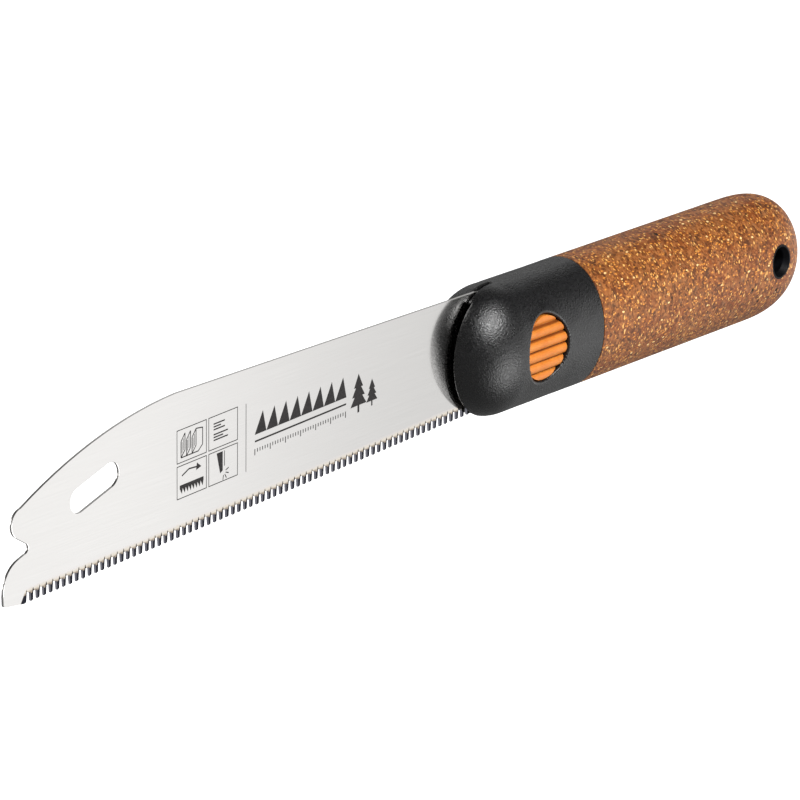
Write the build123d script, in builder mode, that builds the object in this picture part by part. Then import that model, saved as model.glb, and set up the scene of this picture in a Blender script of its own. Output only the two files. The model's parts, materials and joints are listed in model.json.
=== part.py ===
from build123d import *
import math
import os

# Folding pruning saw. Millimetres, +Z up. The origin is the centre of the hanging hole, on the saw's
# middle plane. +X runs along the handle towards its rounded end, the open blade points along -X with its
# teeth down, and -Y is the near side, where the button is.
#
# Places on the handle are given as (u, v): u along X, v up from the handle's centreline.

# Handle form: an elliptical bar with a rounded nose and a fuller rounded end
half_height = 20.7
half_thickness = 16.3
nose_tip_u = -160.4
nose_length = 19.1
end_u = 20.8
dome_length = 30.8
dome_side_pull = 0.47
dome_end_pull = 1.03
centreline_z = -1.35
joint_u = -100.9
joint_gap = 0.4
gasket_inset = 0.25
seam_angle = 40.0

# Hanging hole
hole_radius = 4.0
bush_radius = 4.9
bush_flare_radius = 5.9
bush_flare_depth = 3.2
dish_radius = 5.35
dish_depth = 2.4

# Blade, in its own tilted frame: x from the first tooth, z up from the middle of the teeth
blade_thickness = 0.8
blade_tilt = 1.815
first_tooth = (-356.7, -24.12)
tooth_pitch = 2.8
tooth_count = 75
tooth_half_depth = 1.4
tooth_root_half = 0.6
tooth_tip_half = 0.22
spine_end = (210.0, 36.95)
crown = (66.0, 42.2)
slot_centre = (30.0, 24.0)
slot_straight = 14.0
slot_radius = 3.8
slot_angle = 14.8

# Folding joint
pivot = (-141.4, -12.0)
axle_radius = 3.0
axle_half_length = 7.0
bush_clearance = 0.05
pivot_bush_radius = 4.4
washer_radius = 7.5
washer_thickness = 0.6
tang_back_u = -139.4
doubler_heel_radius = 7.8
doubler_centre = (-144.9, -1.5)
doubler_size = (9.6, 21.0)
doubler_corner = 3.0
doubler_thickness = 0.6
rivet_radius = 1.25
rivet_places = [(-146.2, 4.5), (-143.2, -1.2)]
side_play = 0.05

# Cavities that the blade swings through
slot_half_width = 1.7
slot_top_v = 16.3
slot_back_u = -138.9
fine_slot_half_width = 0.6
fine_slot_back_u = -140.2
sweep_radius = 12.3
groove_half_width = 1.3
groove_start_u = -129.1
groove_ceiling = ((-135.0, -4.3), (30.0, -10.6))
slot_edge_radius = 0.5

# Liner plates, spacer and the tongue that holds the grip
liner_thickness = 1.2
liner_front_u = -155.0
liner_top_v = 15.5
liner_bottom_v = -17.5
liner_corner = 12.5
tongue_end_u = -58.0
tongue_top_v = 12.0
tongue_bottom_v = -3.2
tongue_overlap = 24.0
cheek_end_u = -104.9
spacer_start_u = -124.5
part_gap = 0.05

# Button and lock
button_centre = (-130.0, 0.6)
button_opening_radius = 10.4
button_rim_radius = 0.8
button_radius = 10.05
button_well_radius = 12.2
button_flange_radius = 11.9
button_face_inset = 0.7
rib_count = 6
rib_pitch = 3.55
rib_radius = 1.95
well_depth_y = 11.3
flange_thickness = 1.4
backing_thickness = 1.6
backing_edge_y = 11.9
backing_middle_y = 12.4
backing_middle_height = 18.5
stem_radius = 5.2
stem_end_y = 7.0
cross_pin_radius = 0.8
cross_pin_length = 8.0
cross_pin_y = 9.2
plunger_radius = 4.5
plunger_neck_radius = 2.4
plunger_front_y = 3.0
plunger_back_y = 6.0
spring_wire = 0.3
spring_radius = 3.4
spring_turns = 4
spring_floor_y = 13.0
plunger_chamfer = 0.4

# Stop pin and screws
stop_pin_radius = 2.4
stop_pin = (-136.9, 12.4)
stop_pin_end_y = 5.0
pin_end_radius = 0.4
axle_end_radius = 0.5
screw_radius = 1.6
screw_head_radius = 3.2
screw_head_height = 2.2
socket_radius = 1.5
socket_depth = 1.4
thread_gap = 0.02
screw_top_y = 12.6
screw_tip_y = 9.2
insert_radius = 2.5
insert_ends_y = (3.6, 10.4)
head_screws = [(-108.5, 11.0), (-108.5, -1.6)]
grip_screws = [(-88.0, 4.4), (-68.0, 4.4)]
pivot_screw_top_y = 11.6
pivot_screw_tip_y = 1.5
axle_bore_start_y = 1.0

liner_face_y = slot_half_width + liner_thickness
blade_half = blade_thickness / 2
stack_half = blade_half + doubler_thickness
flange_face_y = 0.1 - well_depth_y
far_reach = 40.0
form_tolerance = 1e-3

# Side view planes: their normal is -Y, so a positive extrude goes towards the near side
side = Plane(origin=(0, 0, centreline_z), x_dir=(1, 0, 0), z_dir=(0, -1, 0))
far_side = Plane(origin=(0, 0, centreline_z), x_dir=(-1, 0, 0), z_dir=(0, 1, 0))
blade_plane = Plane(
    origin=(first_tooth[0], 0, centreline_z + first_tooth[1]),
    x_dir=(math.cos(math.radians(blade_tilt)), 0, math.sin(math.radians(blade_tilt))),
    z_dir=(0, -1, 0),
)
joint_plane = Plane(origin=(joint_u, 0, centreline_z), x_dir=(0, 1, 0), z_dir=(1, 0, 0))


def side_at(y):
    """The side view plane moved to this Y."""
    return side.offset(-y)


def disc_between(places, radius, y_near, y_far, mode=Mode.ADD):
    """Round bars along Y at (u, v) places, from y_near to y_far, inside the active part."""
    with BuildSketch(side_at(y_far)) as discs:
        with Locations(*places):
            Circle(radius)
    extrude(discs.sketch, amount=y_far - y_near, mode=mode)


def surface_y(v):
    """Half thickness of the handle at this height over its centreline."""
    return half_thickness * math.sqrt(1 - (v / half_height) ** 2)


def lies_on_form(edge):
    """True for an edge that runs along the outer surface of the head."""
    on_surface = []
    for place in (0.1, 0.5, 0.9):
        point = edge @ place
        nose = max(0.0, nose_tip_u + nose_length - point.X) / nose_length
        height = (point.Z - centreline_z) / half_height
        on_surface.append(math.hypot(nose, height, point.Y / half_thickness))
    return all(abs(reach - 1) < form_tolerance for reach in on_surface)


def slot_mouth(edges):
    """The outer edges of the blade's slots and of the groove."""
    mouth_reach = slot_half_width + form_tolerance
    return edges.filter_by(lies_on_form).filter_by(
        lambda edge: form_tolerance < abs((edge @ 0.5).Y) < mouth_reach)


def button_rim(edges):
    """The outer edge of the button's opening."""
    middle_x, middle_z = button_centre[0], centreline_z + button_centre[1]
    return edges.filter_by(lies_on_form).filter_by(
        lambda edge: abs(math.hypot((edge @ 0.5).X - middle_x, (edge @ 0.5).Z - middle_z)
                         - button_opening_radius) < form_tolerance)


# Outer form of the whole handle. Its seam line is kept off the middle plane, where it is split.
with BuildPart() as turned_form:
    with BuildSketch(Plane.XZ.rotated((seam_angle, 0, 0))):
        with BuildLine():
            EllipticalCenterArc((nose_tip_u + nose_length, 0), nose_length, half_height,
                                start_angle=180, arc_size=-90)
            Line((nose_tip_u + nose_length, half_height), (end_u - dome_length, half_height))
            Bezier((end_u - dome_length, half_height),
                   (end_u - dome_length * (1 - dome_side_pull), half_height),
                   (end_u, half_height * dome_end_pull), (end_u, 0))
            Line((end_u, 0), (nose_tip_u, 0))
        make_face()
    revolve(axis=Axis.X)
handle_form = scale(turned_form.part, by=(1, half_thickness / half_height, 1))
handle_form = handle_form.moved(Location((0, 0, centreline_z)))


def wide_slot_outline():
    """Side view of the space in the head that the tang and the blade sweep."""
    with BuildSketch(side) as outline:
        Polygon((nose_tip_u - far_reach, -far_reach), (nose_tip_u - far_reach, slot_top_v),
                (slot_back_u, slot_top_v), (slot_back_u, pivot[1]), (groove_start_u, pivot[1]),
                (groove_start_u, -far_reach), align=None)
        with Locations(pivot):
            Circle(sweep_radius)
    return outline.sketch


def fine_slot_outline():
    """Side view of the narrow slot above it, where only the blade's thin spine passes."""
    with BuildSketch(side) as outline:
        Polygon((nose_tip_u - far_reach, 0), (nose_tip_u - far_reach, far_reach),
                (fine_slot_back_u, far_reach), (fine_slot_back_u, 0), align=None)
    return outline.sketch


def groove_outline():
    """Side view of the groove for the folded blade, open at the belly and at the end."""
    start, end = groove_ceiling
    with BuildSketch(side) as outline:
        Polygon(start, end, (end[0], -far_reach), (start[0], -far_reach), align=None)
    return outline.sketch


def liner_outline(grow):
    """Side view of a liner plate: a rounded cheek in the head and a tongue into the grip."""
    width = cheek_end_u - liner_front_u + 2 * grow
    height = liner_top_v - liner_bottom_v + 2 * grow
    with Locations((liner_front_u - grow + width / 2, (liner_top_v + liner_bottom_v) / 2)):
        RectangleRounded(width, height, liner_corner)
    tongue_length = tongue_end_u - joint_u + tongue_overlap
    tongue_middle = (tongue_top_v + tongue_bottom_v) / 2
    with Locations((tongue_end_u - tongue_length / 2, tongue_middle)):
        Rectangle(tongue_length + 2 * grow, tongue_top_v - tongue_bottom_v + 2 * grow)


def cut_groove():
    """Cut the groove for the folded blade out of the active part."""
    extrude(groove_outline(), amount=groove_half_width, both=True, mode=Mode.SUBTRACT)


def cut_blade_spaces():
    """Cut the slots and the groove out of the active part, both sides of the middle plane."""
    extrude(wide_slot_outline(), amount=slot_half_width, both=True, mode=Mode.SUBTRACT)
    extrude(fine_slot_outline(), amount=fine_slot_half_width, both=True, mode=Mode.SUBTRACT)
    cut_groove()


def cut_liner_pocket():
    """Cut the pocket for both liners and the spacer between them out of the active part."""
    with BuildSketch(side) as pocket:
        liner_outline(part_gap)
    extrude(pocket.sketch, amount=liner_face_y + part_gap, both=True, mode=Mode.SUBTRACT)


def cut_screw_way(places, top_y):
    """Cut clearance holes and head counterbores, open to the far side."""
    disc_between(places, screw_radius + part_gap, -screw_tip_y - 1, far_reach, Mode.SUBTRACT)
    seat_y = top_y - screw_head_height
    disc_between(places, screw_head_radius + part_gap, seat_y, far_reach, Mode.SUBTRACT)


def screw_bodies(places, tip_y, top_y):
    """Socket head screws along Y, with their heads at the far side."""
    disc_between(places, screw_radius, tip_y, top_y)
    disc_between(places, screw_head_radius, top_y - screw_head_height, top_y)
    with BuildSketch(side_at(top_y)) as sockets:
        with Locations(*places):
            RegularPolygon(radius=socket_radius, side_count=6)
    extrude(sockets.sketch, amount=socket_depth, mode=Mode.SUBTRACT)


def cross_pin(mode):
    """Pin along Z that joins the button's stem and the plunger."""
    foot = centreline_z + button_centre[1] - cross_pin_length / 2
    with BuildSketch(Plane(origin=(button_centre[0], -cross_pin_y, foot), z_dir=(0, 0, 1))) as pin_end:
        Circle(cross_pin_radius)
    extrude(pin_end.sketch, amount=cross_pin_length, mode=mode)


# Near half of the head, with the button's opening and well
with BuildPart() as head_shell_near:
    add(handle_form)
    split(bisect_by=side, keep=Keep.TOP)
    split(bisect_by=joint_plane.offset(-joint_gap), keep=Keep.BOTTOM)
    cut_blade_spaces()
    cut_liner_pocket()
    disc_between([button_centre], button_opening_radius, -far_reach, 0, Mode.SUBTRACT)
    disc_between([button_centre], button_well_radius, -well_depth_y, 0, Mode.SUBTRACT)
    disc_between([pivot], axle_radius + part_gap, -axle_half_length - part_gap, 0, Mode.SUBTRACT)
    disc_between(head_screws, insert_radius, -insert_ends_y[1], 0, Mode.SUBTRACT)
    fillet(slot_mouth(head_shell_near.edges()), slot_edge_radius)
    fillet(button_rim(head_shell_near.edges()), button_rim_radius)

# Far half of the head, with the screw holes and the spring's bore
with BuildPart() as head_shell_far:
    add(handle_form)
    split(bisect_by=far_side, keep=Keep.TOP)
    split(bisect_by=joint_plane.offset(-joint_gap), keep=Keep.BOTTOM)
    cut_blade_spaces()
    cut_liner_pocket()
    disc_between([button_centre], plunger_radius + part_gap, 0, spring_floor_y, Mode.SUBTRACT)
    disc_between([pivot], axle_radius + part_gap, 0, axle_half_length + part_gap, Mode.SUBTRACT)
    disc_between([stop_pin], stop_pin_radius + part_gap, 0, stop_pin_end_y + part_gap, Mode.SUBTRACT)
    cut_screw_way(head_screws, screw_top_y)
    cut_screw_way([pivot], pivot_screw_top_y)
    fillet(slot_mouth(head_shell_far.edges()), slot_edge_radius)

# Liner plates
liners = {}
for name, y_near in (("liner_near", -liner_face_y), ("liner_far", slot_half_width)):
    y_far = y_near + liner_thickness
    with BuildPart() as liner:
        with BuildSketch(side_at(y_far)):
            liner_outline(0)
            with Locations(pivot):
                Circle(axle_radius + part_gap, mode=Mode.SUBTRACT)
            with Locations(stop_pin):
                Circle(stop_pin_radius + part_gap, mode=Mode.SUBTRACT)
            with Locations(button_centre):
                Circle(plunger_radius + part_gap, mode=Mode.SUBTRACT)
            with Locations(*head_screws, *grip_screws):
                Circle(screw_radius + part_gap, mode=Mode.SUBTRACT)
        extrude(amount=liner_thickness)
    liner.part.label = name
    liners[name] = liner.part

# Spacer between the liners, behind the tang
with BuildPart() as tongue_spacer:
    with BuildSketch(side):
        with Locations(((spacer_start_u + tongue_end_u) / 2, (tongue_top_v + tongue_bottom_v) / 2)):
            Rectangle(tongue_end_u - spacer_start_u, tongue_top_v - tongue_bottom_v)
        with Locations(*head_screws, *grip_screws):
            Circle(screw_radius + part_gap, mode=Mode.SUBTRACT)
    extrude(amount=slot_half_width, both=True)

# Composite grip
with BuildPart() as grip:
    add(handle_form)
    split(bisect_by=joint_plane, keep=Keep.TOP)
    cut_groove()
    cut_liner_pocket()
    cut_screw_way(grip_screws, screw_top_y)
    disc_between(grip_screws, insert_radius, -insert_ends_y[1], -liner_face_y, Mode.SUBTRACT)
    with BuildSketch(Plane.XY):
        with BuildLine():
            Polyline((0, -half_thickness - 1), (bush_flare_radius, -half_thickness - 1),
                     (bush_flare_radius, -half_thickness),
                     (bush_radius, bush_flare_depth - half_thickness),
                     (bush_radius, half_thickness - bush_flare_depth),
                     (bush_flare_radius, half_thickness), (bush_flare_radius, half_thickness + 1),
                     (0, half_thickness + 1), (0, -half_thickness - 1))
        make_face()
    revolve(axis=Axis.Y, mode=Mode.SUBTRACT)

# Dished bushes of the hanging hole, one pressed in from each face
hanging_bushes = {}
for name, facing in (("hanging_bush_near", -1), ("hanging_bush_far", 1)):
    with BuildPart() as bush:
        with BuildSketch(Plane.XY):
            with BuildLine():
                Polyline((hole_radius, 0), (bush_radius, 0),
                         (bush_radius, facing * (half_thickness - bush_flare_depth)),
                         (bush_flare_radius, facing * half_thickness),
                         (bush_flare_radius, facing * (half_thickness + 1)),
                         (dish_radius, facing * (half_thickness + 1)),
                         (dish_radius, facing * half_thickness),
                         (hole_radius, facing * (half_thickness - dish_depth)),
                         (hole_radius, 0))
            make_face()
        revolve(axis=Axis.Y)
        add(handle_form, mode=Mode.INTERSECT)
    bush.part.label = name
    hanging_bushes[name] = bush.part

# Thin dark gasket in the joint between the head and the grip
with BuildPart() as joint_gasket:
    with BuildSketch(joint_plane):
        Ellipse(half_thickness - gasket_inset, half_height - gasket_inset)
    extrude(amount=-joint_gap)
    cut_liner_pocket()
    cut_groove()

# Pivot axle, tapped at its far end for the pivot screw
with BuildPart() as pivot_axle:
    disc_between([pivot], axle_radius, -axle_half_length, axle_half_length)
    disc_between([pivot], screw_radius + thread_gap, axle_bore_start_y, axle_half_length, Mode.SUBTRACT)
    fillet(pivot_axle.faces().sort_by(Axis.Y)[0].edges(), axle_end_radius)

with BuildPart() as pivot_screw:
    screw_bodies([pivot], pivot_screw_tip_y, pivot_screw_top_y)

washers = {}
for name, y_near in (("washer_near", -stack_half - side_play - washer_thickness),
                     ("washer_far", stack_half + side_play)):
    with BuildPart() as washer:
        disc_between([pivot], washer_radius, y_near, y_near + washer_thickness)
        disc_between([pivot], axle_radius + part_gap, y_near, y_near + washer_thickness, Mode.SUBTRACT)
    washer.part.label = name
    washers[name] = washer.part

# Pin that the back of the tang rests against when the blade is open
with BuildPart() as stop_pin_body:
    disc_between([stop_pin], stop_pin_radius, -liner_face_y, stop_pin_end_y)
    fillet(stop_pin_body.faces().sort_by(Axis.Y)[-1].edges(), pin_end_radius)

with BuildPart() as head_screw_set:
    screw_bodies(head_screws, -screw_tip_y, screw_top_y)

with BuildPart() as grip_screw_set:
    screw_bodies(grip_screws, -screw_tip_y, screw_top_y)

insert_sets = {}
for name, places in (("head_inserts", head_screws), ("grip_inserts", grip_screws)):
    with BuildPart() as inserts:
        disc_between(places, insert_radius, -insert_ends_y[1], -insert_ends_y[0])
        disc_between(places, screw_radius + thread_gap, -insert_ends_y[1], -insert_ends_y[0], Mode.SUBTRACT)
    inserts.part.label = name
    insert_sets[name] = inserts.part

# Saw blade: toothed plate with its tang
with BuildPart() as saw_blade:
    with BuildSketch(blade_plane):
        with BuildLine():
            Line(spine_end, crown)
            ThreePointArc(crown, (32.8, 38.3), (-1.5, 26.7))
            ThreePointArc((-1.5, 26.7), (-5.5, 22.3), (-3.3, 18.4))
            Line((-3.3, 18.4), (0.5, 15.9))
            ThreePointArc((0.5, 15.9), (1.45, 14.1), (-0.1, 12.9))
            Line((-0.1, 12.9), (-2.6, 12.2))
            ThreePointArc((-2.6, 12.2), (-7.2, 9.3), (-9.3, 3.6))
            Line((-9.3, 3.6), (-9.2, 1.0))
            ThreePointArc((-9.2, 1.0), (-8.9, 0.1), (-8.2, -0.2))
            Line((-8.2, -0.2), (-tooth_tip_half, -tooth_half_depth))
            edge_points = [(-tooth_tip_half, -tooth_half_depth)]
            for tooth in range(tooth_count):
                x = tooth * tooth_pitch
                if tooth > 0:
                    edge_points.append((x - tooth_root_half, tooth_half_depth))
                    edge_points.append((x - tooth_tip_half, -tooth_half_depth))
                edge_points.append((x + tooth_tip_half, -tooth_half_depth))
                edge_points.append((x + tooth_root_half, tooth_half_depth))
            Polyline(*edge_points, (spine_end[0], tooth_half_depth), spine_end)
        make_face()
        with Locations(slot_centre):
            SlotCenterToCenter(slot_straight, 2 * slot_radius, rotation=slot_angle, mode=Mode.SUBTRACT)
    extrude(amount=blade_half, both=True)
    with BuildSketch(side):
        with BuildLine():
            Polyline((-151, -15.6), (-151, 19.3), (-143.8, 19.3), (tang_back_u, 14.5),
                     (tang_back_u, -0.8), (-137.5, -1.3), (-132.5, -5.0), (-130.4, -9.5),
                     (-130.9, -15.5), (-134.0, -18.6), (-141.4, -20.2), (-147.0, -18.0), (-151, -15.6))
        make_face()
    extrude(amount=blade_half, both=True)
    disc_between([pivot], pivot_bush_radius, -blade_half, blade_half, Mode.SUBTRACT)
    disc_between(rivet_places, rivet_radius, -blade_half, blade_half, Mode.SUBTRACT)

# Doubler plates riveted to both faces of the tang
doublers = {}
for name, y_near in (("tang_doubler_near", -stack_half), ("tang_doubler_far", blade_half)):
    with BuildPart() as doubler:
        with BuildSketch(side_at(y_near + doubler_thickness)):
            with Locations(pivot):
                Circle(doubler_heel_radius)
            with Locations(doubler_centre):
                RectangleRounded(*doubler_size, doubler_corner)
            with Locations(pivot):
                Circle(pivot_bush_radius, mode=Mode.SUBTRACT)
            with Locations(*rivet_places):
                Circle(rivet_radius, mode=Mode.SUBTRACT)
        extrude(amount=doubler_thickness)
    doubler.part.label = name
    doublers[name] = doubler.part

with BuildPart() as tang_rivets:
    disc_between(rivet_places, rivet_radius, -stack_half, stack_half)

with BuildPart() as pivot_bush:
    disc_between([pivot], pivot_bush_radius, -stack_half, stack_half)
    disc_between([pivot], axle_radius + bush_clearance, -stack_half, stack_half, Mode.SUBTRACT)

# Button: a ribbed face that follows the handle's section, a flange that keeps it in, and a stem
with BuildPart() as lock_button:
    with BuildSketch(Plane.YZ.offset(button_centre[0] - button_radius)):
        for index in range(rib_count):
            rib_v = button_centre[1] + (index - (rib_count - 1) / 2) * rib_pitch
            rib_y = surface_y(rib_v) - button_face_inset - rib_radius
            with Locations((-rib_y, centreline_z + rib_v)):
                Circle(rib_radius)
        with Locations((-backing_edge_y, centreline_z + button_centre[1])):
            Rectangle(backing_thickness, 2 * button_radius)
        with Locations((-backing_middle_y, centreline_z + button_centre[1])):
            Rectangle(backing_thickness, backing_middle_height)
    extrude(amount=2 * button_radius)
    disc_between([button_centre], button_radius, -far_reach, 0, Mode.INTERSECT)
    disc_between([button_centre], button_flange_radius, flange_face_y, flange_face_y + flange_thickness)
    disc_between([button_centre], stem_radius, -well_depth_y, -stem_end_y)
    disc_between([button_centre], plunger_neck_radius, -well_depth_y, 0, Mode.SUBTRACT)
    cross_pin(Mode.SUBTRACT)

# Lock plunger: full diameter in the blade's plane, with a neck that comes there when pressed
with BuildPart() as lock_plunger:
    disc_between([button_centre], plunger_radius, -plunger_front_y, plunger_back_y)
    disc_between([button_centre], plunger_neck_radius, -well_depth_y, -plunger_front_y)
    chamfer(lock_plunger.faces().sort_by(Axis.Y)[-1].edges(), plunger_chamfer)
    cross_pin(Mode.SUBTRACT)

# Pin through the button's stem and the plunger's neck
with BuildPart() as button_pin:
    cross_pin(Mode.ADD)

with BuildPart() as button_spring:
    spring_length = spring_floor_y - plunger_back_y - 2 * spring_wire - 2 * part_gap
    spring_foot = plunger_back_y + spring_wire + part_gap
    with BuildLine():
        coil = Helix(pitch=spring_length / spring_turns, height=spring_length, radius=spring_radius,
                     center=(button_centre[0], spring_foot, centreline_z + button_centre[1]),
                     direction=(0, 1, 0))
    with BuildSketch(Plane(origin=coil @ 0, z_dir=coil % 0)):
        Circle(spring_wire)
    sweep(path=coil)

pieces = {
    "head_shell_near": head_shell_near.part,
    "head_shell_far": head_shell_far.part,
    "tongue_spacer": tongue_spacer.part,
    "grip": grip.part,
    "joint_gasket": joint_gasket.part,
    "pivot_axle": pivot_axle.part,
    "pivot_screw": pivot_screw.part,
    "stop_pin": stop_pin_body.part,
    "head_screws": head_screw_set.part,
    "grip_screws": grip_screw_set.part,
    "saw_blade": saw_blade.part,
    "tang_rivets": tang_rivets.part,
    "pivot_bush": pivot_bush.part,
    "lock_button": lock_button.part,
    "lock_plunger": lock_plunger.part,
    "button_pin": button_pin.part,
    "button_spring": button_spring.part,
}
for group in (liners, hanging_bushes, washers, insert_sets, doublers):
    pieces.update(group)

os.makedirs("parts", exist_ok=True)
for name, piece in pieces.items():
    piece.label = name
    export_step(piece, f"parts/{name}.step")
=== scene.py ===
"""Folding pruning saw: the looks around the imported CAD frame, in metres, +Z up.

The CAD nodes carry the shapes. This script gives each of them a finish, replaces the blade by one with
ground teeth and softened edges and the button's coil by a copy of its own, adds the blade's printed marks,
and sets up the stage, the lights and the camera.
"""
import json
import math

import bmesh
import bpy
from mathutils import Matrix, Vector


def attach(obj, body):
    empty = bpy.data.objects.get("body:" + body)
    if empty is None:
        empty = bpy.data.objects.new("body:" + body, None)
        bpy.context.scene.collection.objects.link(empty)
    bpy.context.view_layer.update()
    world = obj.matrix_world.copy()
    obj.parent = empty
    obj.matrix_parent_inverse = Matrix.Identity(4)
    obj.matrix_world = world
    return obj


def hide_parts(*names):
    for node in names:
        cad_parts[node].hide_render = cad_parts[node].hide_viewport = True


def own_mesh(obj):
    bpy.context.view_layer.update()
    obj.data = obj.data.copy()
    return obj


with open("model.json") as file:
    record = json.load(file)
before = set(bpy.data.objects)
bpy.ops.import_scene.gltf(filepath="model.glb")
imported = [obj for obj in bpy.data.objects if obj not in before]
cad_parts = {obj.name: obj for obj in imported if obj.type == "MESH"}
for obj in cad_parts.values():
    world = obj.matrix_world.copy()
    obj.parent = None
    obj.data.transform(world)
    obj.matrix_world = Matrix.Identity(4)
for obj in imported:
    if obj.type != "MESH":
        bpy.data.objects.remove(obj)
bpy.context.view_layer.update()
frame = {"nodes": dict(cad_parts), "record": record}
nodes = frame["nodes"]
scene = bpy.context.scene

MM = 0.001

# The blade's own frame: x from the first tooth, z up from the middle of the teeth
BLADE_TILT = math.radians(1.815)
BLADE_ALONG = Vector((math.cos(BLADE_TILT), 0, math.sin(BLADE_TILT)))
BLADE_UP = Vector((-math.sin(BLADE_TILT), 0, math.cos(BLADE_TILT)))
FIRST_TOOTH = Vector((-356.7, 0, -25.47)) * MM
TOOTH_PITCH = 2.8 * MM
TOOTH_COUNT = 75
TOOTH_HALF_DEPTH = 1.4 * MM
TOOTH_MARGIN = 0.1 * MM
BLADE_HALF = 0.4 * MM

# How the blade is finished: broken edges, and how far each tooth's corners move in grinding
EDGE_SOFTENING = 0.13 * MM
SHARP_EDGE = math.radians(40)
FLAT_WITHIN = math.radians(0.5)
WELD_DISTANCE = 0.001 * MM
TIP_RISE = 0.02 * MM
CHISEL_RISE = 0.25 * MM
SHOULDER_RISE = 0.3 * MM
TIP_THINNING = 0.85
INK_THICKNESS = 0.008 * MM

# The button: the height of its ribs' middle groove, and from one rib to the next
BUTTON_HEIGHT = -0.75 * MM
RIB_PITCH = 3.55 * MM

# What the lights face
SAW_MIDDLE = Vector((-0.17, 0, 0))


# ---------------------------------------------------------------- shader helpers

class Graph:
    """A material's node tree, with short calls for the nodes that the finishes share."""

    def __init__(self, name):
        self.material = bpy.data.materials.new(name)
        self.material.use_nodes = True
        self.tree = self.material.node_tree
        self.shader = self.tree.nodes["Principled BSDF"]
        self.place = self.add("ShaderNodeTexCoord").outputs["Object"]

    def add(self, kind, **settings):
        node = self.tree.nodes.new(kind)
        for key, value in settings.items():
            setattr(node, key, value)
        return node

    def link(self, source, socket):
        self.tree.links.new(source, socket)

    def feed(self, socket, value):
        """Link a socket, or set its constant."""
        if isinstance(value, bpy.types.NodeSocket):
            self.link(value, socket)
        elif isinstance(value, tuple) and len(value) == 3 and socket.type == "RGBA":
            socket.default_value = (*value, 1)
        else:
            socket.default_value = value

    def stretched(self, scale, turn=(0, 0, 0), shift=(0, 0, 0)):
        """Object coordinates, scaled per axis for grain that runs one way."""
        mapping = self.add("ShaderNodeMapping")
        self.link(self.place, mapping.inputs["Vector"])
        mapping.inputs["Scale"].default_value = scale
        mapping.inputs["Rotation"].default_value = turn
        mapping.inputs["Location"].default_value = shift
        return mapping.outputs["Vector"]

    def noise(self, scale, detail=3, roughness=0.55, vector=None):
        node = self.add("ShaderNodeTexNoise")
        self.link(vector or self.place, node.inputs["Vector"])
        node.inputs["Scale"].default_value = scale
        node.inputs["Detail"].default_value = detail
        node.inputs["Roughness"].default_value = roughness
        return node.outputs["Fac"]

    def cells(self, scale, vector=None):
        """Distance to each cell's centre, and a random colour per cell."""
        node = self.add("ShaderNodeTexVoronoi")
        self.link(vector or self.place, node.inputs["Vector"])
        node.inputs["Scale"].default_value = scale
        return node.outputs["Distance"], node.outputs["Color"]

    def math(self, operation, a, b=0.0):
        node = self.add("ShaderNodeMath", operation=operation)
        self.feed(node.inputs[0], a)
        self.feed(node.inputs[1], b)
        return node.outputs[0]

    def ramp(self, value, low, high, out_low=0.0, out_high=1.0):
        """A smooth step of value, from low to high."""
        node = self.add("ShaderNodeMapRange", interpolation_type="SMOOTHSTEP")
        self.feed(node.inputs["Value"], value)
        node.inputs["From Min"].default_value = low
        node.inputs["From Max"].default_value = high
        node.inputs["To Min"].default_value = out_low
        node.inputs["To Max"].default_value = out_high
        return node.outputs["Result"]

    def mix(self, share, a, b):
        """Colour b over colour a; the node's colour sockets are inputs 6 and 7 and output 2."""
        node = self.add("ShaderNodeMix", data_type="RGBA")
        self.feed(node.inputs[0], share)
        self.feed(node.inputs[6], a)
        self.feed(node.inputs[7], b)
        return node.outputs[2]

    def channel(self, colour, index):
        """One channel of a colour, as a number: 0 red, 1 green, 2 blue."""
        node = self.add("ShaderNodeSeparateColor")
        self.link(colour, node.inputs[0])
        return node.outputs[index]

    def bump(self, height, strength, distance, normal=None):
        node = self.add("ShaderNodeBump")
        self.link(height, node.inputs["Height"])
        node.inputs["Strength"].default_value = strength
        node.inputs["Distance"].default_value = distance
        if normal:
            self.link(normal, node.inputs["Normal"])
        return node.outputs["Normal"]

    def soft_edges(self, radius):
        """Normals that round the piece's sharp edges."""
        node = self.add("ShaderNodeBevel", samples=4)
        node.inputs["Radius"].default_value = radius
        return node.outputs["Normal"]

    def blade_place(self):
        """Place along the blade and height over the middle of its teeth, in millimetres."""
        offset = self.add("ShaderNodeVectorMath", operation="SUBTRACT")
        self.link(self.place, offset.inputs[0])
        offset.inputs[1].default_value = FIRST_TOOTH
        places = []
        for direction in (BLADE_ALONG, BLADE_UP):
            reach = self.add("ShaderNodeVectorMath", operation="DOT_PRODUCT")
            self.link(offset.outputs[0], reach.inputs[0])
            reach.inputs[1].default_value = direction / MM
            places.append(reach.outputs["Value"])
        return places

    def set(self, **values):
        """Set or link the shader's inputs by name, with _ for a space."""
        for key, value in values.items():
            self.feed(self.shader.inputs[key.replace("_", " ")], value)
        return self.material


# ---------------------------------------------------------------- finishes

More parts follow.
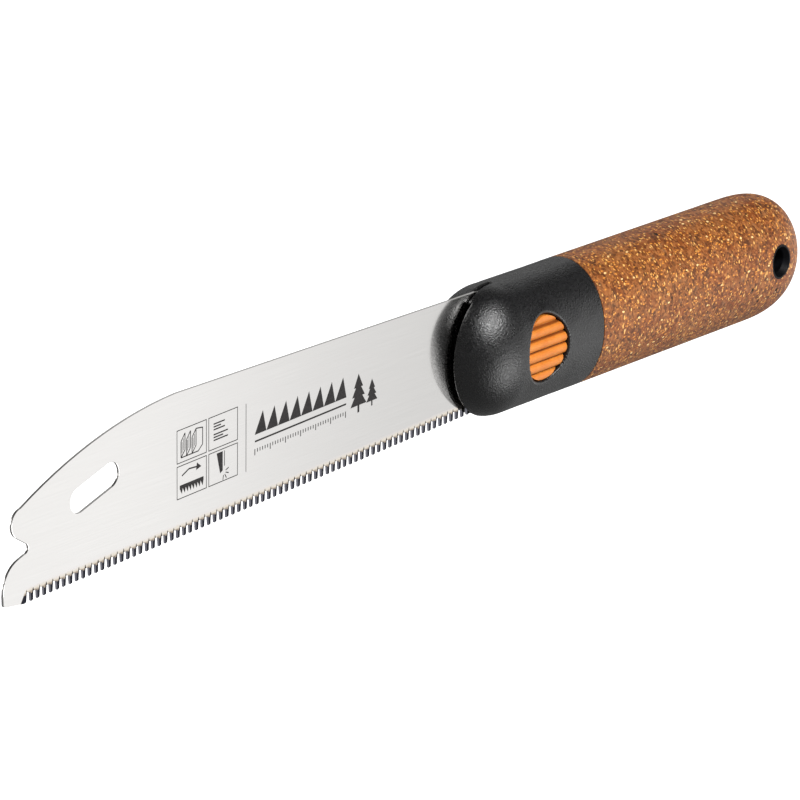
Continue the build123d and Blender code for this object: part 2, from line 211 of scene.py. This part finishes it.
def brushed_blade_steel():
    """Satin plate with fine lengthwise brushing and painted shade towards the head, and blued, heat-tinted
    teeth with painted highlights on their flanks and painted shade in a spike at each gullet.
    """
    g = Graph("blade_steel")
    along = g.stretched((40, 40, 2600), (0, BLADE_TILT, 0))
    lines = g.noise(1.0, 4, 0.6, along)
    broad = g.noise(1.0, 2, 0.5, g.stretched((14, 14, 300), (0, BLADE_TILT, 0)))
    mottle = g.noise(45, 3, 0.55)
    plate = g.mix(g.ramp(lines, 0.3, 0.7), (0.785, 0.773, 0.757), (0.815, 0.803, 0.787))
    plate = g.mix(g.ramp(broad, 0.35, 0.65, 0.0, 0.2), plate, (0.775, 0.762, 0.748))
    plate = g.mix(g.ramp(mottle, 0.55, 0.8, 0.0, 0.25), plate, (0.790, 0.762, 0.757))
    across, height = g.blade_place()
    # Painted shade: the plate is painted darker towards the head, up to about a quarter black
    plate = g.mix(g.ramp(across, 20, 215, 0.0, 0.26), plate, (0.0, 0.0, 0.0))

    # Over the gullets the hardening leaves a straw and brown tint
    phase = g.math("FRACT", g.math("ADD", g.math("DIVIDE", across, TOOTH_PITCH / MM), 0.5))
    ragged = g.math("ADD", height, g.math("MULTIPLY", g.noise(900, 2), 0.9))
    tint = g.mix(g.ramp(ragged, 1.9, 2.5), (0.42, 0.35, 0.28), (0.74, 0.68, 0.59))
    tint = g.mix(g.ramp(ragged, 2.6, 3.6), tint, (0.78, 0.71, 0.70))
    toe_block = g.ramp(g.math("ADD", across, g.math("MULTIPLY", height, -0.6)), -1.5, -1.2, 1.0, 0.0)
    plain = g.math("MAXIMUM", g.ramp(ragged, 2.2, 3.8), toe_block)
    colour = g.mix(plain, tint, plate)

    normal = g.add("ShaderNodeSeparateXYZ")
    g.link(g.add("ShaderNodeNewGeometry").outputs["True Normal"], normal.inputs[0])
    side = g.ramp(g.math("ABSOLUTE", normal.outputs[1]), 0.5, 0.96, 1.0, 0.0)
    blued_and_flank_highlight = g.mix(g.noise(1500, 3), (0.006, 0.007, 0.012), (0.022, 0.023, 0.034))
    # Painted highlight: faces turned along the blade, the teeth's flanks, are painted pale lilac-grey among
    # the blued teeth
    painted_flank_highlight = g.mix(g.noise(1500, 3), (0.48, 0.48, 0.57), (0.82, 0.82, 0.92))
    blued_and_flank_highlight = g.mix(side, blued_and_flank_highlight, painted_flank_highlight)
    # Painted shade: each tooth's dark is painted higher in a spike at one side of its gullet
    painted_gullet_shade = g.math("MULTIPLY", g.ramp(phase, 0.50, 0.66), g.ramp(phase, 0.70, 0.82, 1.3, 0.0))
    dark = g.ramp(g.math("SUBTRACT", ragged, painted_gullet_shade), 1.35, 1.75)
    dark = g.math("MAXIMUM", dark, toe_block)
    edge = g.math("MULTIPLY", side, 0.8)
    colour = g.mix(edge, colour, (0.56, 0.55, 0.53))
    colour = g.mix(dark, blued_and_flank_highlight, colour)

    rough = g.math("ADD", g.ramp(lines, 0.2, 0.8, 0.055, 0.095), g.math("MULTIPLY", mottle, 0.03))
    rough = g.math("ADD", rough, g.math("MULTIPLY", edge, 0.2))
    return g.set(Base_Color=colour, Metallic=1.0, Roughness=rough,
                 Normal=g.bump(lines, 0.05, 0.02 * MM))


def pebbled_black_plastic():
    """Moulded black shell with a fine pebbled grain."""
    g = Graph("pebbled_black")
    distance, tone = g.cells(1800)
    fine = g.noise(2600, 2, 0.6)
    grain = g.math("ADD", distance, g.math("MULTIPLY", fine, 0.7))
    dust = g.ramp(g.noise(260, 4, 0.6), 0.58, 0.75)
    colour = g.mix(g.ramp(fine, 0.35, 0.7), (0.0035, 0.0035, 0.0038), (0.0075, 0.0073, 0.0075))
    colour = g.mix(g.math("MULTIPLY", dust, 0.35), colour, (0.014, 0.0135, 0.014))
    rough = g.math("ADD", g.ramp(g.channel(tone, 0), 0.0, 1.0, 0.22, 0.36),
                   g.math("MULTIPLY", g.noise(35, 2), 0.08))
    normal = g.bump(grain, 0.8, 0.10 * MM, g.soft_edges(0.12 * MM))
    return g.set(Base_Color=colour, Roughness=rough, Specular_IOR_Level=0.57, Normal=normal)


def speckled_composite():
    """Pressed wood and cork granules in a brown binder, polished smooth, with a few open pores."""
    g = Graph("speckled_composite")
    patch = g.noise(70, 3, 0.6)
    clump = g.noise(260, 3, 0.6)
    grit = g.noise(1500, 3, 0.7)
    colour = g.mix(g.ramp(patch, 0.35, 0.65), (0.208, 0.052, 0.0085), (0.245, 0.080, 0.018))
    colour = g.mix(g.ramp(clump, 0.5, 0.72, 0.0, 0.6), colour, (0.25, 0.125, 0.055))
    colour = g.mix(g.ramp(clump, 0.28, 0.45, 0.6, 0.0), colour, (0.12, 0.030, 0.007))
    for scale, turn in ((900, 0.3), (1500, 1.2)):
        distance, random = g.cells(scale, g.stretched((1, 0.8, 1), (turn, turn, 0)))
        tone = g.channel(random, 2)
        colour = g.mix(g.ramp(tone, 0.08, 0.34, 0.65, 0.0), colour, (0.060, 0.018, 0.005))
        colour = g.mix(g.ramp(tone, 0.70, 0.95, 0.0, 0.5), colour, (0.42, 0.16, 0.045))

    flecks = ((1150, 0.68, (0.74, 0.33, 0.070), 0.36, (1, 0.42, 0.8), 0.5),
              (1200, 0.70, (0.62, 0.23, 0.036), 0.38, (0.42, 1, 1), -0.7),
              (1050, 0.74, (0.80, 0.43, 0.12), 0.34, (0.8, 0.9, 0.40), 1.1),
              (800, 0.88, (0.90, 0.60, 0.25), 0.30, (0.5, 0.8, 1), 2.3))
    for scale, rarity, tone, size, stretch, turn in flecks:
        where = g.stretched(stretch, (turn, turn * 1.7, turn * 0.6), (turn, -turn, turn))
        distance, random = g.cells(scale, where)
        chosen = g.ramp(g.channel(random, 0), rarity, rarity + 0.04)
        edge = g.math("ADD", distance, g.math("MULTIPLY", g.math("SUBTRACT", grit, 0.5), 0.5))
        shape = g.ramp(edge, size * 0.6, size, 1.0, 0.0)
        colour = g.mix(g.math("MULTIPLY", chosen, shape), colour, tone)

    distance, random = g.cells(420, g.stretched((1, 1, 0.8), (0.4, 0.2, 0.9)))
    chosen = g.ramp(g.channel(random, 1), 0.80, 0.84)
    chip = g.math("MULTIPLY", chosen, g.ramp(distance, 0.12, 0.3, 1.0, 0.0))
    colour = g.mix(g.math("MULTIPLY", chip, 0.75), colour, (0.035, 0.014, 0.006))
    distance, random = g.cells(150, g.stretched((1, 1, 1), (0.1, 0.8, 0.3), (3.1, 1.7, 0.4)))
    chosen = g.ramp(g.channel(random, 2), 0.76, 0.78)
    pore = g.math("MULTIPLY", chosen, g.ramp(distance, 0.06, 0.15, 1.0, 0.0))
    # Painted shade: the pores are coloured near black for the shade inside them, over the dents of the bump
    colour = g.mix(pore, colour, (0.018, 0.009, 0.005))

    height = g.math("SUBTRACT", g.math("MULTIPLY", grit, 0.35), g.math("MULTIPLY", pore, 3.0))
    height = g.math("SUBTRACT", height, g.math("MULTIPLY", chip, 0.5))
    rough = g.math("ADD", g.ramp(grit, 0.3, 0.7, 0.38, 0.52), g.math("MULTIPLY", pore, 0.3))
    normal = g.bump(height, 0.5, 0.12 * MM, g.soft_edges(0.25 * MM))
    return g.set(Base_Color=colour, Roughness=rough, Specular_IOR_Level=0.28, Normal=normal)


def orange_plastic():
    """Satin orange moulding, with painted shade in the grooves between its ribs."""
    g = Graph("orange_plastic")
    fine = g.noise(2200, 2, 0.6)
    cloud = g.noise(220, 3, 0.6)
    colour = g.mix(g.ramp(cloud, 0.35, 0.7), (0.55, 0.161, 0.016), (0.625, 0.204, 0.0275))
    height = g.add("ShaderNodeSeparateXYZ")
    g.link(g.place, height.inputs[0])
    turns = g.math("DIVIDE", g.math("SUBTRACT", height.outputs[2], BUTTON_HEIGHT), RIB_PITCH)
    groove = g.math("ABSOLUTE", g.math("SUBTRACT", g.math("FRACT", g.math("ADD", turns, 0.5)), 0.5))
    groove = g.math("ADD", groove, g.math("MULTIPLY", g.math("SUBTRACT", fine, 0.5), 0.05))
    # Painted shade: the grooves between the ribs are painted dark brown
    colour = g.mix(g.ramp(groove, 0.02, 0.15, 0.85, 0.0), colour, (0.12, 0.022, 0.002))
    rough = g.ramp(fine, 0.3, 0.7, 0.34, 0.48)
    normal = g.bump(fine, 0.25, 0.03 * MM, g.soft_edges(0.25 * MM))
    return g.set(Base_Color=colour, Roughness=rough, Specular_IOR_Level=0.4,
                 Subsurface_Weight=0.06, Subsurface_Scale=0.002, Normal=normal)


def plain_moulding(name, dark, light, rough, gloss=0.4):
    """A moulded plastic or rubber with cloudy tone and fine grain."""
    g = Graph(name)
    fine = g.noise(1400, 3, 0.6)
    colour = g.mix(g.ramp(g.noise(300, 3), 0.35, 0.7), dark, light)
    normal = g.bump(fine, 0.35, 0.03 * MM, g.soft_edges(0.1 * MM))
    return g.set(Base_Color=colour, Roughness=g.ramp(fine, 0.3, 0.7, rough - 0.06, rough + 0.06),
                 Specular_IOR_Level=gloss, Normal=normal)


def machined_metal(name, dark, light, rough, scale, soft=0.08):
    """A metal with tool lines or rolling grain, and small stains."""
    g = Graph(name)
    lines = g.noise(1.0, 3, 0.6, g.stretched(scale))
    stain = g.noise(400, 4, 0.6)
    colour = g.mix(g.ramp(lines, 0.3, 0.7), dark, light)
    colour = g.mix(g.ramp(stain, 0.6, 0.8, 0.0, 0.4), colour, tuple(0.55 * c for c in dark))
    normal = g.bump(lines, 0.3, 0.02 * MM, g.soft_edges(soft * MM))
    return g.set(Base_Color=colour, Metallic=1.0,
                 Roughness=g.ramp(stain, 0.3, 0.7, rough - 0.05, rough + 0.08), Normal=normal)


def printed_ink():
    """Thin black print, a little worn."""
    g = Graph("printed_ink")
    wear = g.noise(1800, 3, 0.65)
    colour = g.mix(g.ramp(wear, 0.35, 0.75), (0.010, 0.009, 0.009), (0.030, 0.027, 0.027))
    return g.set(Base_Color=colour, Roughness=g.ramp(wear, 0.3, 0.7, 0.38, 0.6), Specular_IOR_Level=0.15)


def studio_floor():
    """Plain pale studio floor."""
    g = Graph("studio_floor")
    tone = g.mix(g.noise(3, 2), (0.90, 0.90, 0.90), (0.93, 0.93, 0.93))
    return g.set(Base_Color=tone, Roughness=0.9, Specular_IOR_Level=0.1,
                 Emission_Color=(1.0, 1.0, 1.0), Emission_Strength=0.98)


FINISHES = {
    "blade_steel": brushed_blade_steel(),
    "black_plastic": pebbled_black_plastic(),
    "grip_composite": speckled_composite(),
    "orange_plastic": orange_plastic(),
    "bush_plastic": plain_moulding("bush_black", (0.0015, 0.0015, 0.002), (0.004, 0.0045, 0.006), 0.5, 0.12),
    "gasket_rubber": plain_moulding("gasket_rubber", (0.010, 0.007, 0.006), (0.024, 0.017, 0.013), 0.75),
    "spacer_nylon": plain_moulding("spacer_nylon", (0.030, 0.030, 0.031), (0.055, 0.055, 0.057), 0.55),
    "liner_steel": machined_metal("liner_steel", (0.42, 0.42, 0.42), (0.60, 0.60, 0.59), 0.32,
                                  (60, 2400, 2400)),
    "hardware_steel": machined_metal("hardware_steel", (0.36, 0.36, 0.37), (0.58, 0.58, 0.58), 0.26,
                                     (2200, 90, 2200)),
    "spring_steel": machined_metal("spring_steel", (0.34, 0.34, 0.35), (0.52, 0.52, 0.53), 0.24,
                                   (900, 900, 900), 0.02),
    "bronze": machined_metal("bronze", (0.45, 0.27, 0.12), (0.62, 0.41, 0.21), 0.3, (2400, 80, 2400)),
    "insert_brass": machined_metal("insert_brass", (0.62, 0.44, 0.17), (0.80, 0.61, 0.29), 0.28,
                                   (2400, 80, 2400)),
}
INK = printed_ink()


def finish_cad_nodes():
    """Give every CAD node the finish of its material slot."""
    for part in frame["record"]["subparts"]:
        mesh = nodes[part["node"]].data
        mesh.materials.clear()
        mesh.materials.append(FINISHES[part["material_slot"]])


# ---------------------------------------------------------------- blade

def in_blade(point):
    """(x, z) of a point in the blade's own frame."""
    offset = point - FIRST_TOOTH
    return offset.dot(BLADE_ALONG), offset.dot(BLADE_UP)


def from_blade(x, z, y):
    """Row-frame point at (x, z) in the blade's own frame, at y across the saw."""
    point = FIRST_TOOTH + BLADE_ALONG * x + BLADE_UP * z
    return Vector((point.x, y, point.z))


def new_piece(name, mesh, body, finish):
    """A piece of the visual model that rides on a body."""
    piece = bpy.data.objects.new(name, mesh)
    scene.collection.objects.link(piece)
    mesh.materials.clear()
    mesh.materials.append(finish)
    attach(piece, body)
    return piece


def grind_tooth(vert):
    """Move a tooth's corner: broad chisel tips, bevelled from opposite faces by turns."""
    x, z = in_blade(vert.co)
    index = round(x / TOOTH_PITCH)
    if z > TOOTH_HALF_DEPTH + TOOTH_MARGIN or not 0 <= index < TOOTH_COUNT:
        return
    across = x - index * TOOTH_PITCH
    if abs(across) > 0.45 * TOOTH_PITCH:
        return
    ground_face = -1 if index % 2 == 0 else 1
    if z < 0:
        vert.co += BLADE_ALONG * across + BLADE_UP * TIP_RISE
        if across > 0:
            vert.co += BLADE_UP * CHISEL_RISE
        if vert.co.y * ground_face > 0:
            vert.co.y *= TIP_THINNING
    elif across > 0 and vert.co.y * ground_face > 0:
        vert.co += BLADE_UP * SHOULDER_RISE


def make_blade():
    """The CAD blade's plate with ground teeth and softened edges."""
    bm = bmesh.new()
    bm.from_mesh(nodes["saw_blade"].data)
    bmesh.ops.remove_doubles(bm, verts=bm.verts, dist=WELD_DISTANCE)
    bmesh.ops.dissolve_limit(bm, angle_limit=FLAT_WITHIN, verts=bm.verts, edges=bm.edges)
    rim = [edge for edge in bm.edges
           if len(edge.link_faces) == 2 and edge.calc_face_angle() > SHARP_EDGE
           and min(in_blade(vert.co)[1] for vert in edge.verts) > TOOTH_HALF_DEPTH + 2 * TOOTH_MARGIN]
    bmesh.ops.bevel(bm, geom=rim, offset=EDGE_SOFTENING, segments=2, profile=0.6, affect="EDGES",
                    clamp_overlap=True)
    for vert in bm.verts:
        grind_tooth(vert)
    bmesh.ops.triangulate(bm, faces=bm.faces)
    bmesh.ops.recalc_face_normals(bm, faces=bm.faces)
    mesh = bpy.data.meshes.new("blade_plate")
    bm.to_mesh(mesh)
    bm.free()
    piece = new_piece("blade_plate", mesh, "blade", FINISHES["blade_steel"])
    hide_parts("saw_blade")


def make_spring():
    """The button's coil, as a mesh of its own riding on the handle."""
    mesh = nodes["button_spring"].data.copy()
    mesh.name = "button_coil"
    piece = new_piece("button_coil", mesh, "handle", FINISHES["spring_steel"])
    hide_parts("button_spring")
    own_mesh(piece)


# ---------------------------------------------------------------- printed marks

def stroke(points, width):
    """Quads along a line of (x, z) points in the blade's frame, in millimetres."""
    quads = []
    for (x0, z0), (x1, z1) in zip(points, points[1:]):
        length = math.hypot(x1 - x0, z1 - z0)
        side_x, side_z = -(z1 - z0) / length * width / 2, (x1 - x0) / length * width / 2
        quads.append([(x0 - side_x, z0 - side_z), (x1 - side_x, z1 - side_z),
                      (x1 + side_x, z1 + side_z), (x0 + side_x, z0 + side_z)])
    return quads


def frame_lines(x0, z0, x1, z1, width):
    """The outline of a printed cell."""
    half = width / 2
    sides = ([(x0 - half, z0), (x1 + half, z0)], [(x0 - half, z1), (x1 + half, z1)],
             [(x0, z0), (x0, z1)], [(x1, z0), (x1, z1)])
    return [quad for side in sides for quad in stroke(side, width)]


def saw_profile(x0, x1, z, pitch, height):
    """A row of solid teeth standing on a line, or hanging from it where the height is negative."""
    lean = 0.7
    count = round((x1 - x0) / pitch)
    step = (x1 - x0) / count
    return [[(x0 + i * step, z), (x0 + (i + 1) * step, z), (x0 + (i + lean) * step, z + height)]
            for i in range(count)]


def wood_sign(x, z):
    """Two boards seen at an angle, with grain lines."""
    shapes = []
    for shift in (0.0, 2.5, 5.0):
        board = [(x + 1.8 + shift, z + 1.4), (x + 1.8 + shift, z + 6.2), (x + 3.6 + shift, z + 8.4),
                 (x + 3.6 + shift, z + 3.4), (x + 1.8 + shift, z + 1.4)]
        shapes += stroke(board, 0.35)
        shapes += stroke([(x + 2.3 + shift, z + 2.8), (x + 2.3 + shift, z + 6.0)], 0.22)
        shapes += stroke([(x + 2.9 + shift, z + 3.4), (x + 2.9 + shift, z + 6.9)], 0.22)
    shapes += stroke([(x + 1.8, z + 1.4), (x + 9.6, z + 1.4)], 0.35)
    shapes += stroke([(x + 8.6, z + 8.4), (x + 11.6, z + 8.0)], 0.35)
    shapes += stroke([(x + 9.6, z + 1.4), (x + 11.6, z + 3.0), (x + 11.6, z + 8.0)], 0.35)
    return shapes


def teeth_sign(x, z):
    """A block of wood over a row of saw teeth, with an arrow for the stroke."""
    shapes = [[(x + 1.2, z + 2.9), (x + 12.0, z + 2.9), (x + 12.0, z + 3.9), (x + 1.2, z + 3.9)]]
    shapes += saw_profile(x + 1.2, x + 12.0, z + 2.9, 1.35, -1.7)
    shapes += stroke([(x + 2.2, z + 6.6), (x + 5.4, z + 7.9), (x + 8.8, z + 7.6)], 0.45)
    shapes += [[(x + 8.6, z + 6.6), (x + 11.0, z + 7.2), (x + 9.0, z + 8.8)]]
    return shapes


def hard_tooth_sign(x, z):
    """One tooth's tip with rays, for hardened teeth."""
    shapes = [[(x + 3.6, z + 9.0), (x + 5.2, z + 2.6), (x + 6.4, z + 3.2), (x + 6.4, z + 9.0)]]
    shapes += stroke([(x + 7.2, z + 9.0), (x + 7.2, z + 4.4)], 0.3)
    start, end = 0.9, 2.4
    for turn in (-100, -60, -20, 20):
        angle = math.radians(turn)
        shapes += stroke([(x + 6.9 + start * math.cos(angle), z + 2.6 + start * math.sin(angle)),
                          (x + 6.9 + end * math.cos(angle), z + 2.6 + end * math.sin(angle))], 0.32)
    return shapes


def ruler_sign(x, z):
    """Graduated lines, long and short by turns."""
    shapes = []
    for row, lengths in ((z + 6.6, (5.2, 3.4, 5.2)), (z + 3.4, (6.6, 4.4, 6.6))):
        for index, length in enumerate(lengths):
            level = row - 0.85 * index + 0.9
            shapes += stroke([(x + 2.2, level), (x + 2.2 + length, level)], 0.42)
    return shapes


def conifer(x, z):
    """A plain fir tree and a smaller one beside it, one outline each."""
    half = [(0.45, 0.0), (0.45, 2.2), (3.9, 2.2), (1.9, 5.0), (3.1, 5.0), (1.3, 7.8), (2.2, 7.8), (0.0, 12.0)]
    shapes = []
    for foot_x, foot_z, size in ((x + 4.6, z, 1.0), (x + 11.2, z + 0.4, 0.7)):
        for side in (-1, 1):
            for (low_x, low_z), (top_x, top_z) in zip(half[::2], half[1::2]):
                low, top = foot_z + size * low_z, foot_z + size * top_z
                shapes.append([(foot_x, low), (foot_x + side * size * low_x, low),
                               (foot_x + side * size * top_x, top), (foot_x, top)])
    return shapes


def make_print():
    """The black marks on the near face of the blade, as thin raised ink."""
    left, right = (66.4, 79.7), (80.8, 94.0)
    upper, lower = (21.0, 30.8), (10.3, 20.0)
    shapes = []
    for x0, x1 in (left, right):
        for z0, z1 in (upper, lower):
            shapes += frame_lines(x0, z0, x1, z1, 0.26)
    shapes += wood_sign(left[0], upper[0]) + ruler_sign(right[0], upper[0])
    shapes += teeth_sign(left[0], lower[0]) + hard_tooth_sign(right[0], lower[0])
    shapes += stroke([(97.95, 10.05), (97.95, 30.7)], 0.24)
    shapes += saw_profile(102.0, 145.7, 20.2, 5.46, 6.6)
    shapes += stroke([(102.1, 18.15), (145.6, 18.15)], 0.55)
    for index in range(37):
        start, height = 102.1 + 1.2 * index, 1.9 if index % 6 == 0 else 1.1
        shapes += stroke([(start, 15.9 - height), (start, 15.9)], 0.36)
    shapes += conifer(147.0, 14.0)

    level = -BLADE_HALF - INK_THICKNESS
    corners, faces = [], []
    for shape in shapes:
        turn = sum(x0 * z1 - x1 * z0 for (x0, z0), (x1, z1) in zip(shape, shape[1:] + shape[:1]))
        if turn < 0:
            shape = shape[::-1]
        faces.append(range(len(corners), len(corners) + len(shape)))
        corners += [from_blade(x * MM, z * MM, level) for x, z in shape]
    mesh = bpy.data.meshes.new("blade_print")
    mesh.from_pydata(corners, [], faces)
    new_piece("blade_print", mesh, "blade", INK)


# ---------------------------------------------------------------- stage, lights and camera

def make_floor():
    """A wide pale floor well below the saw, which neither lights it nor shows in its reflections."""
    mesh = bpy.data.meshes.new("floor")
    reach = 12.0
    height = -0.45
    corners = [(-reach, -reach, height), (reach, -reach, height),
               (reach, reach, height), (-reach, reach, height)]
    mesh.from_pydata(corners, [], [(0, 1, 2, 3)])
    mesh.materials.append(studio_floor())
    floor = bpy.data.objects.new("floor", mesh)
    scene.collection.objects.link(floor)
    floor.visible_diffuse = False
    floor.visible_glossy = False
    floor.visible_shadow = False


def softbox(name, azimuth, elevation, distance, size, power):
    """An area light in a direction from the saw (degrees from +X and up), facing it."""
    data = bpy.data.lights.new(name, "AREA")
    data.shape = "RECTANGLE"
    data.size, data.size_y = size
    data.energy = power
    light = bpy.data.objects.new(name, data)
    turn = Matrix.Rotation(math.radians(azimuth), 3, "Z") @ Matrix.Rotation(math.radians(-elevation), 3, "Y")
    towards = turn @ Vector((1, 0, 0))
    light.location = SAW_MIDDLE + towards * distance
    light.rotation_mode = "QUATERNION"
    light.rotation_quaternion = towards.to_track_quat("Z", "Y")
    scene.collection.objects.link(light)


def make_world():
    """A white room whose light comes from the table at the saw's front right, and is dim overhead."""
    world = bpy.data.worlds.new("studio")
    world.use_nodes = True
    scene.world = world
    tree = world.node_tree
    place = tree.nodes.new("ShaderNodeTexCoord")
    split = tree.nodes.new("ShaderNodeSeparateXYZ")
    tree.links.new(place.outputs["Generated"], split.inputs[0])

    def step(value, low, high, out_low, out_high):
        """A smooth step of value, from low to high, between two numbers or outputs."""
        node = tree.nodes.new("ShaderNodeMapRange")
        node.interpolation_type = "SMOOTHSTEP"
        for name, number in zip(("From Min", "From Max"), (low, high)):
            node.inputs[name].default_value = number
        tree.links.new(value, node.inputs["Value"])
        for name, target in zip(("To Min", "To Max"), (out_low, out_high)):
            if isinstance(target, float):
                node.inputs[name].default_value = target
            else:
                tree.links.new(target, node.inputs[name])
        return node.outputs["Result"]

    front_right = (0.81, -0.59, 0.0)
    overhead, behind_camera, under_table, table_top = 0.08, 0.24, 0.45, 1.10
    aside = tree.nodes.new("ShaderNodeVectorMath")
    aside.operation = "DOT_PRODUCT"
    tree.links.new(place.outputs["Generated"], aside.inputs[0])
    aside.inputs[1].default_value = front_right
    deep = step(split.outputs[2], -0.62, -0.36, under_table, table_top)
    table = step(aside.outputs["Value"], 0.35, 0.82, behind_camera, deep)
    sky = step(split.outputs[2], 0.02, 0.34, table, overhead)
    # Where the world itself is seen, it is plain white
    seen = tree.nodes.new("ShaderNodeLightPath").outputs["Is Camera Ray"]
    tree.links.new(step(seen, 0.0, 1.0, sky, 1.0), tree.nodes["Background"].inputs["Strength"])
    tree.nodes["Background"].inputs["Color"].default_value = (1, 1, 1, 1)


def make_camera():
    """A long lens at the toe's side, looking along the saw and down on it, rolled a little."""
    position = Vector((-1.4508, -0.9203, 0.4707))
    target = Vector((-0.1844, 0.0, -0.0078))
    roll = math.radians(1.79)
    data = bpy.data.cameras.new("camera")
    data.sensor_width = 36
    data.lens = 247.5
    data.clip_end = 50
    camera = bpy.data.objects.new("camera", data)
    scene.collection.objects.link(camera)
    facing = (target - position).to_track_quat("-Z", "Y").to_matrix() @ Matrix.Rotation(roll, 3, "Z")
    camera.matrix_world = Matrix.Translation(position) @ facing.to_4x4()
    scene.camera = camera


finish_cad_nodes()
make_blade()
make_spring()
make_print()
make_floor()
make_world()
make_camera()
softbox("key", 254, 46, 2.2, (1.2, 1.05), 66)
softbox("low_front", 280, -28, 2.0, (1.4, 1.2), 20)
softbox("back_wall", 40, 30, 2.4, (2.2, 1.4), 5.5)
softbox("back_fill", 118, 6, 2.2, (1.6, 1.0), 26)
scene.view_settings.view_transform = "Standard"
